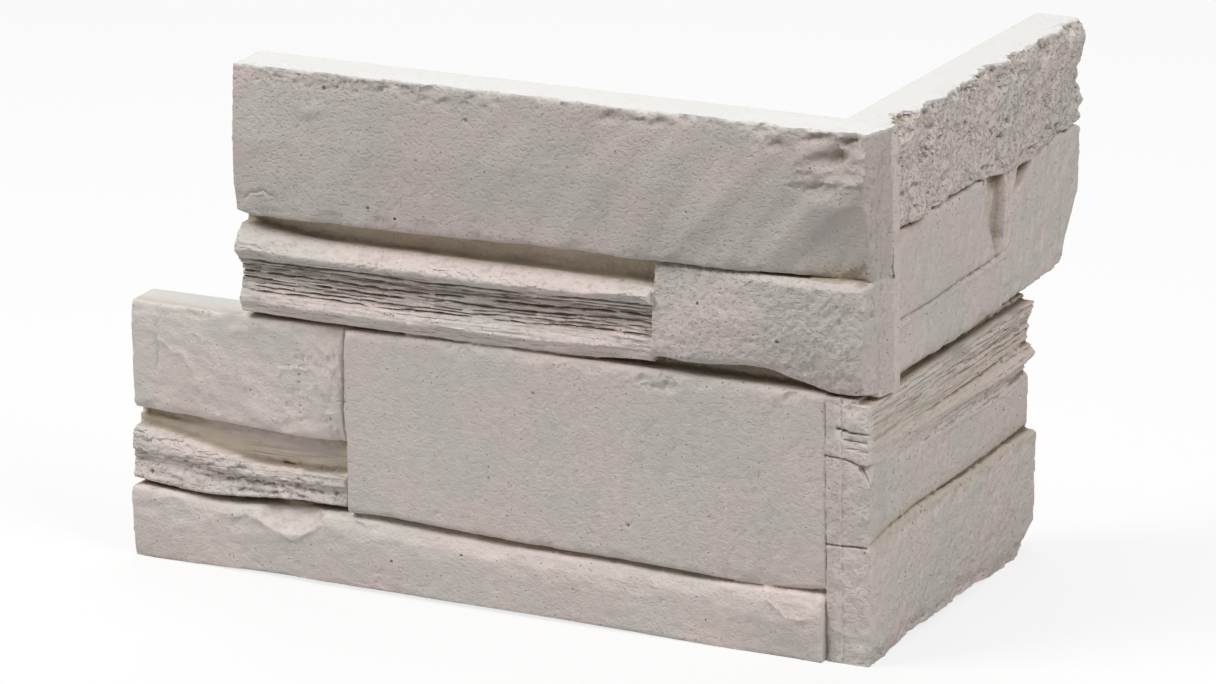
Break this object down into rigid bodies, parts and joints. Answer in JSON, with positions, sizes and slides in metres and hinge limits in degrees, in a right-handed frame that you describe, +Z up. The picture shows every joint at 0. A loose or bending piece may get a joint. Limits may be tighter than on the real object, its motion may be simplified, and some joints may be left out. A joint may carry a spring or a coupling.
{
  "type": "stone cladding corner piece",
  "caption": "White cast stone cladding corner piece, L-shaped in plan, with two stepped courses of riven, laminated and pitted stones.",
  "frame": {"origin": "the clad wall's own corner at the foot of the casting, where the planes of the two back faces meet the floor", "axes": "-X along the long leg, +Y along the short leg, +Z up; the long leg shows its stones towards -Y and the short leg towards +X"},
  "size_m": [0.317, 0.1959, 0.202],
  "materials": {
    "cast_stone": "matt, cast from a mould of riven stone, with pinholes"
  },
  "bodies": {
    "root": {"corner_piece": "cast_stone"}
  },
  "joints": []
}
